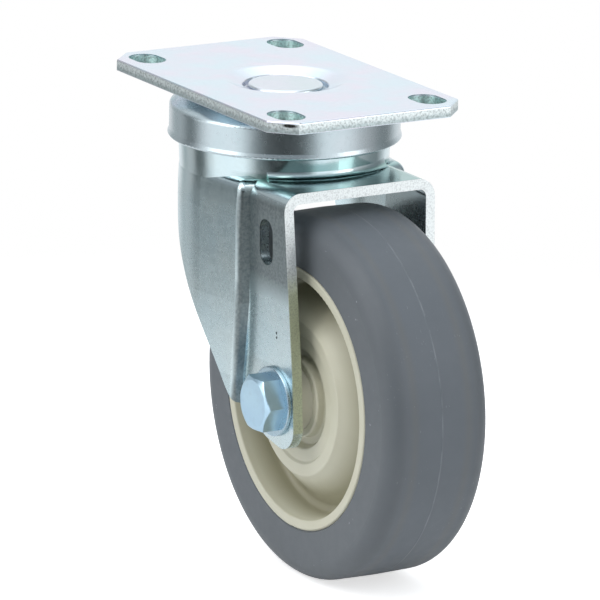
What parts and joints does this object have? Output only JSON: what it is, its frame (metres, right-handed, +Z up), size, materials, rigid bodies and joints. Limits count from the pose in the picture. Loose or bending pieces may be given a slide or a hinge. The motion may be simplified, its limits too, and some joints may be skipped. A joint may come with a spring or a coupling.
{
  "type": "swivel castor",
  "caption": "Swivel plate castor: slotted steel top plate, ball-bearing swivel head, pressed fork, and a soft grey tyre on a cream plastic core turning on a bolted axle.",
  "frame": {"origin": "on the swivel axis, in the top face of the plate", "axes": "+Z up out of the plate's top face, +X along the plate's length towards the wheel's offset, +Y along the wheel's axle"},
  "size_m": [0.1334, 0.0663, 0.1311],
  "materials": {
    "zinc_plate": "bright zinc plating, faintly brushed, pale",
    "zinc_cap": "bright zinc plating on a drawn stamping",
    "zinc_pin": "bright zinc plating on a turned head",
    "zinc_race": "zinc plating, greased",
    "ball_steel": "polished steel",
    "zinc_fork": "bright blue-white zinc plating on pressed sheet",
    "zinc_bolt": "blue zinc plating",
    "zinc_washer": "blue zinc plating",
    "nylon": "natural nylon",
    "sleeve_steel": "plain ground steel",
    "grey_tyre": "matt grey thermoplastic rubber",
    "cream_core": "cream polyolefin, satin",
    "bush_plastic": "white acetal"
  },
  "bodies": {
    "root": {"top_plate": "zinc_plate", "race_cap": "zinc_cap", "kingpin": "zinc_pin", "lower_race": "zinc_race"},
    "fork": {"fork": "zinc_fork", "axle_bolt": "zinc_bolt", "bolt_washer": "zinc_washer", "nut_washer": "zinc_washer", "lock_nut": "zinc_bolt", "nut_insert": "nylon", "axle_sleeve": "sleeve_steel"},
    "wheel": {"tyre": "grey_tyre", "wheel_core": "cream_core", "bush_near": "bush_plastic", "bush_far": "bush_plastic"},
    "upper_balls": {"upper_balls": "ball_steel"},
    "lower_balls": {"lower_balls": "ball_steel"}
  },
  "joints": [
    {"name": "swivel", "type": "hinge", "parent": "root", "child": "fork", "pos_m": [0, 0, 0], "axis": [0, 0, 1], "continuous": true},
    {"name": "wheel_spin", "type": "hinge", "parent": "fork", "child": "wheel", "pos_m": [0.035, 0, -0.0803], "axis": [0, 1, 0], "continuous": true},
    {"name": "upper_balls_orbit", "type": "hinge", "parent": "root", "child": "upper_balls", "pos_m": [0, 0, 0], "axis": [0, 0, 1], "continuous": true},
    {"name": "lower_balls_orbit", "type": "hinge", "parent": "root", "child": "lower_balls", "pos_m": [0, 0, 0], "axis": [0, 0, 1], "continuous": true}
  ],
  "couplings": [
    {"joint": "upper_balls_orbit", "follows": "swivel", "ratio": 0.5},
    {"joint": "lower_balls_orbit", "follows": "swivel", "ratio": 0.5}
  ]
}
